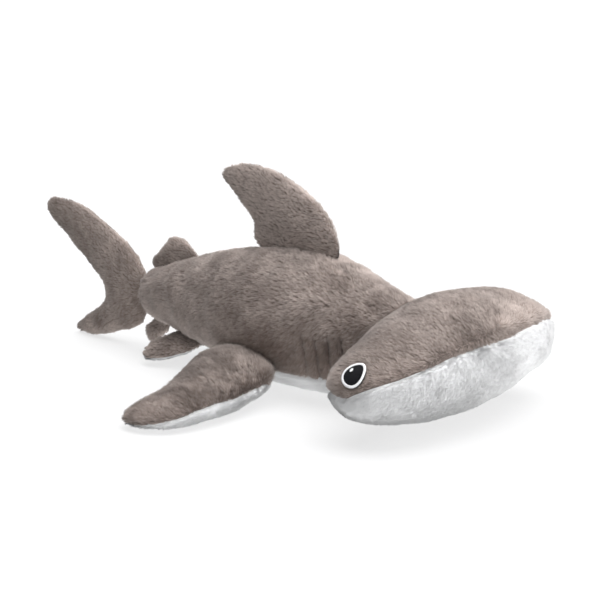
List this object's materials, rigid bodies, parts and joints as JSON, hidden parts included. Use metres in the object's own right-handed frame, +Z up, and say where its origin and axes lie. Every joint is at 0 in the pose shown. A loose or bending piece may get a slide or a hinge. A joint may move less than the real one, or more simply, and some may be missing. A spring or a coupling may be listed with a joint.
{
  "type": "plush shark",
  "caption": "Stuffed plush hammerhead shark lying on its belly, with grey pile above, white pile below, embroidered eyes and soft fins, head and tail that bend at their seams.",
  "frame": {"origin": "centre of the footprint, on the floor that the shark lies on", "axes": "+Z up, the shark faces -Y and its length runs along Y, its right side is -X and its left side is +X"},
  "size_m": [0.534, 0.7531, 0.2595],
  "materials": {
    "grey_plush": "short pile faux fur, taupe grey, combed, matte",
    "white_plush": "short pile faux fur, cool white, matte",
    "polyester_filling": "loose polyester fibre, white",
    "black_thread": "satin stitched embroidery thread, black",
    "white_thread": "satin stitched embroidery thread, white",
    "dark_thread": "twisted sewing thread, dark brown grey"
  },
  "bodies": {
    "torso": {"belly_cover": "white_plush", "body_cover_left": "grey_plush", "body_cover_right": "grey_plush", "body_filling": "polyester_filling", "gill_stitches_left": "dark_thread", "gill_stitches_right": "dark_thread"},
    "head": {"eye_glint_left": "white_thread", "eye_glint_right": "white_thread", "eye_pupil_left": "black_thread", "eye_pupil_right": "black_thread", "eye_rim_left": "white_thread", "eye_rim_right": "white_thread", "head_filling": "polyester_filling", "head_top_cover": "grey_plush", "head_under_cover": "white_plush"},
    "dorsal_fin": {"dorsal_fin_cover_left": "grey_plush", "dorsal_fin_cover_right": "grey_plush", "dorsal_fin_filling": "polyester_filling"},
    "second_dorsal_fin": {"second_dorsal_fin_cover_left": "grey_plush", "second_dorsal_fin_cover_right": "grey_plush", "second_dorsal_fin_filling": "polyester_filling"},
    "tail_fin": {"tail_fin_cover_left": "grey_plush", "tail_fin_cover_right": "grey_plush", "tail_fin_filling": "polyester_filling"},
    "anal_fin": {"anal_fin_cover_left": "grey_plush", "anal_fin_cover_right": "grey_plush", "anal_fin_filling": "polyester_filling"},
    "pectoral_fin_right": {"pectoral_fin_right_filling": "polyester_filling", "pectoral_fin_right_top_cover": "grey_plush", "pectoral_fin_right_under_cover": "white_plush"},
    "pectoral_fin_left": {"pectoral_fin_left_filling": "polyester_filling", "pectoral_fin_left_top_cover": "grey_plush", "pectoral_fin_left_under_cover": "white_plush"},
    "pelvic_fin_right": {"pelvic_fin_right_filling": "polyester_filling", "pelvic_fin_right_top_cover": "grey_plush", "pelvic_fin_right_under_cover": "white_plush"},
    "pelvic_fin_left": {"pelvic_fin_left_filling": "polyester_filling", "pelvic_fin_left_top_cover": "grey_plush", "pelvic_fin_left_under_cover": "white_plush"}
  },
  "joints": [
    {"name": "head_nod", "type": "hinge", "parent": "torso", "child": "head", "pos_m": [0, -0.2005, 0.074], "axis": [-1, 0, 0], "range_deg": [0, 14], "stiffness_Nm_per_rad": 8},
    {"name": "dorsal_fin_sway", "type": "hinge", "parent": "torso", "child": "dorsal_fin", "pos_m": [0, -0.0745, 0.1705], "axis": [0, 1, 0], "range_deg": [-35, 35], "stiffness_Nm_per_rad": 0.5},
    {"name": "second_dorsal_fin_sway", "type": "hinge", "parent": "torso", "child": "second_dorsal_fin", "pos_m": [0, 0.1755, 0.1105], "axis": [0, -0.9426, 0.3338], "range_deg": [-35, 35], "stiffness_Nm_per_rad": 0.06},
    {"name": "tail_fin_sway", "type": "hinge", "parent": "torso", "child": "tail_fin", "pos_m": [0, 0.19, 0.074], "axis": [0, 0, 1], "range_deg": [-30, 30], "stiffness_Nm_per_rad": 0.6},
    {"name": "anal_fin_sway", "type": "hinge", "parent": "torso", "child": "anal_fin", "pos_m": [0, 0.1655, 0.0365], "axis": [0, 1, 0], "range_deg": [-25, 25], "stiffness_Nm_per_rad": 0.03},
    {"name": "pectoral_fin_right_lift", "type": "hinge", "parent": "torso", "child": "pectoral_fin_right", "pos_m": [-0.078, -0.0745, 0.044], "axis": [0, 1, 0], "range_deg": [0, 30], "stiffness_Nm_per_rad": 0.4},
    {"name": "pectoral_fin_left_lift", "type": "hinge", "parent": "torso", "child": "pectoral_fin_left", "pos_m": [0.078, -0.0745, 0.044], "axis": [0, -1, 0], "range_deg": [0, 30], "stiffness_Nm_per_rad": 0.4},
    {"name": "pelvic_fin_right_lift", "type": "hinge", "parent": "torso", "child": "pelvic_fin_right", "pos_m": [-0.031, 0.0855, 0.033], "axis": [0, 1, 0], "range_deg": [0, 12], "stiffness_Nm_per_rad": 0.05},
    {"name": "pelvic_fin_left_lift", "type": "hinge", "parent": "torso", "child": "pelvic_fin_left", "pos_m": [0.031, 0.0855, 0.033], "axis": [0, -1, 0], "range_deg": [0, 12], "stiffness_Nm_per_rad": 0.05}
  ]
}
